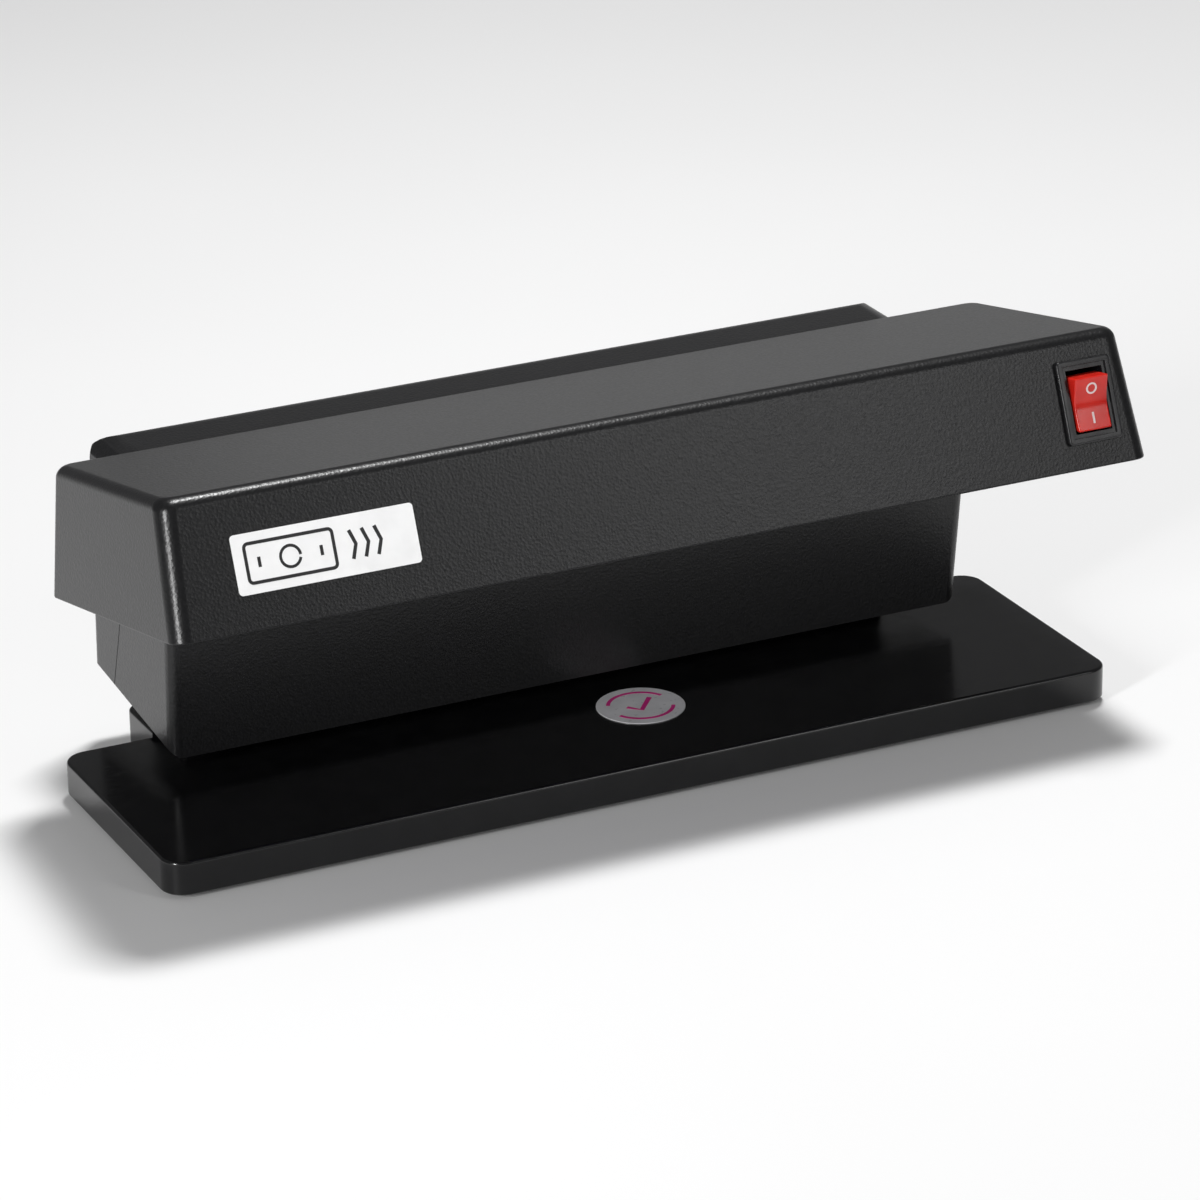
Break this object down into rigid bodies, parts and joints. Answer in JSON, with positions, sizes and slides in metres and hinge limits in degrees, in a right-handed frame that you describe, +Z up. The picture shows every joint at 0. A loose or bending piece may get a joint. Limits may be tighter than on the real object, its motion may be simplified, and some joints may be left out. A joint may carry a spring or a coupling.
{
  "type": "ultraviolet banknote checker",
  "caption": "Mains ultraviolet banknote checker: flat base plate, column at the rear and a tilted lamp shade over it, with a rocker switch at one end of the shade.",
  "frame": {"origin": "centre of the bounding box in X and Y, on the plane the four feet stand on", "axes": "+X along the object to the right when seen from the open side, +Y to the column and the back, +Z up"},
  "size_m": [0.26, 0.1192, 0.1022],
  "materials": {
    "base_gloss": "moulded, polished black",
    "grained_shell": "moulded, fine leather grain, satin black",
    "foot_rubber": "matt",
    "gland_rubber": "matt",
    "zinc_steel": "zinc plated",
    "core_steel": "varnished laminations",
    "winding_copper": "enamelled wire under tape",
    "tray_aluminium": "bright rolled sheet",
    "cap_aluminium": "spun, satin",
    "uv_glass": "dark violet filter glass",
    "white_plastic": "satin",
    "switch_black": "satin black",
    "rocker_red": "translucent red, polished",
    "contact_brass": "bright",
    "lead_brown": "extruded, satin brown",
    "lead_blue": "extruded, satin blue",
    "label_white": "printed film",
    "sticker_silver": "metallised film, printed"
  },
  "bodies": {
    "housing": {"ballast_bracket": "zinc_steel", "ballast_core": "core_steel", "ballast_screw_1": "zinc_steel", "ballast_screw_2": "zinc_steel", "ballast_winding": "winding_copper", "base_plate": "base_gloss", "base_screw_1": "zinc_steel", "base_screw_2": "zinc_steel", "base_screw_3": "zinc_steel", "base_screw_4": "zinc_steel", "base_sticker": "sticker_silver", "bottom_plate": "base_gloss", "cable_gland": "gland_rubber", "column_housing": "grained_shell", "column_screw_1": "zinc_steel", "column_screw_2": "zinc_steel", "column_screw_3": "zinc_steel", "column_screw_4": "zinc_steel", "foot_1": "foot_rubber", "foot_2": "foot_rubber", "foot_3": "foot_rubber", "foot_4": "foot_rubber", "front_label": "label_white", "lamp_holder_front_left": "white_plastic", "lamp_holder_front_right": "white_plastic", "lamp_holder_rear_left": "white_plastic", "lamp_holder_rear_right": "white_plastic", "lamp_shade": "grained_shell", "lamp_tray": "tray_aluminium", "lead_ballast_to_lamp": "lead_blue", "lead_block_to_switch": "lead_brown", "lead_lamp_to_block": "lead_blue", "lead_lamp_to_lamp": "lead_blue", "lead_switch_to_ballast": "lead_brown", "rear_cover": "grained_shell", "rear_screw_1": "zinc_steel", "rear_screw_2": "zinc_steel", "rear_screw_3": "zinc_steel", "rear_screw_4": "zinc_steel", "starter_socket_1": "white_plastic", "starter_socket_2": "white_plastic", "switch_body": "switch_black", "switch_terminal_common": "contact_brass", "switch_terminal_live": "contact_brass", "terminal_block": "white_plastic", "tray_screw_1": "zinc_steel", "tray_screw_2": "zinc_steel"},
    "tube_front": {"uv_tube_front": "uv_glass", "tube_cap_front_left": "cap_aluminium", "tube_cap_front_right": "cap_aluminium"},
    "tube_rear": {"uv_tube_rear": "uv_glass", "tube_cap_rear_left": "cap_aluminium", "tube_cap_rear_right": "cap_aluminium"},
    "rocker": {"switch_rocker": "rocker_red"},
    "blade": {"switch_blade": "contact_brass"},
    "starter_a": {"starter_1": "white_plastic"},
    "starter_b": {"starter_2": "white_plastic"}
  },
  "joints": [
    {"name": "switch_rock", "type": "hinge", "parent": "housing", "child": "rocker", "pos_m": [0.1151, -0.0518, 0.08674], "axis": [-1, 0, 0], "range_deg": [0, 24]},
    {"name": "contact_tilt", "type": "hinge", "parent": "housing", "child": "blade", "pos_m": [0.1151, -0.04497, 0.08387], "axis": [1, 0, 0], "range_deg": [0, 16]},
    {"name": "front_tube_twist", "type": "hinge", "parent": "housing", "child": "tube_front", "pos_m": [-0.008, -0.03912, 0.08165], "axis": [1, 0, 0], "range_deg": [0, 90]},
    {"name": "rear_tube_twist", "type": "hinge", "parent": "housing", "child": "tube_rear", "pos_m": [-0.008, -0.01956, 0.07749], "axis": [1, 0, 0], "range_deg": [0, 90]},
    {"name": "starter_1_twist", "type": "hinge", "parent": "housing", "child": "starter_a", "pos_m": [-0.062, 0.01041, 0.04457], "axis": [0, 0.9942, 0.1074], "range_deg": [0, 45]},
    {"name": "starter_2_twist", "type": "hinge", "parent": "housing", "child": "starter_b", "pos_m": [-0.032, 0.01041, 0.04457], "axis": [0, 0.9942, 0.1074], "range_deg": [0, 45]}
  ],
  "couplings": [
    {"joint": "contact_tilt", "follows": "switch_rock", "ratio": 0.66}
  ]
}
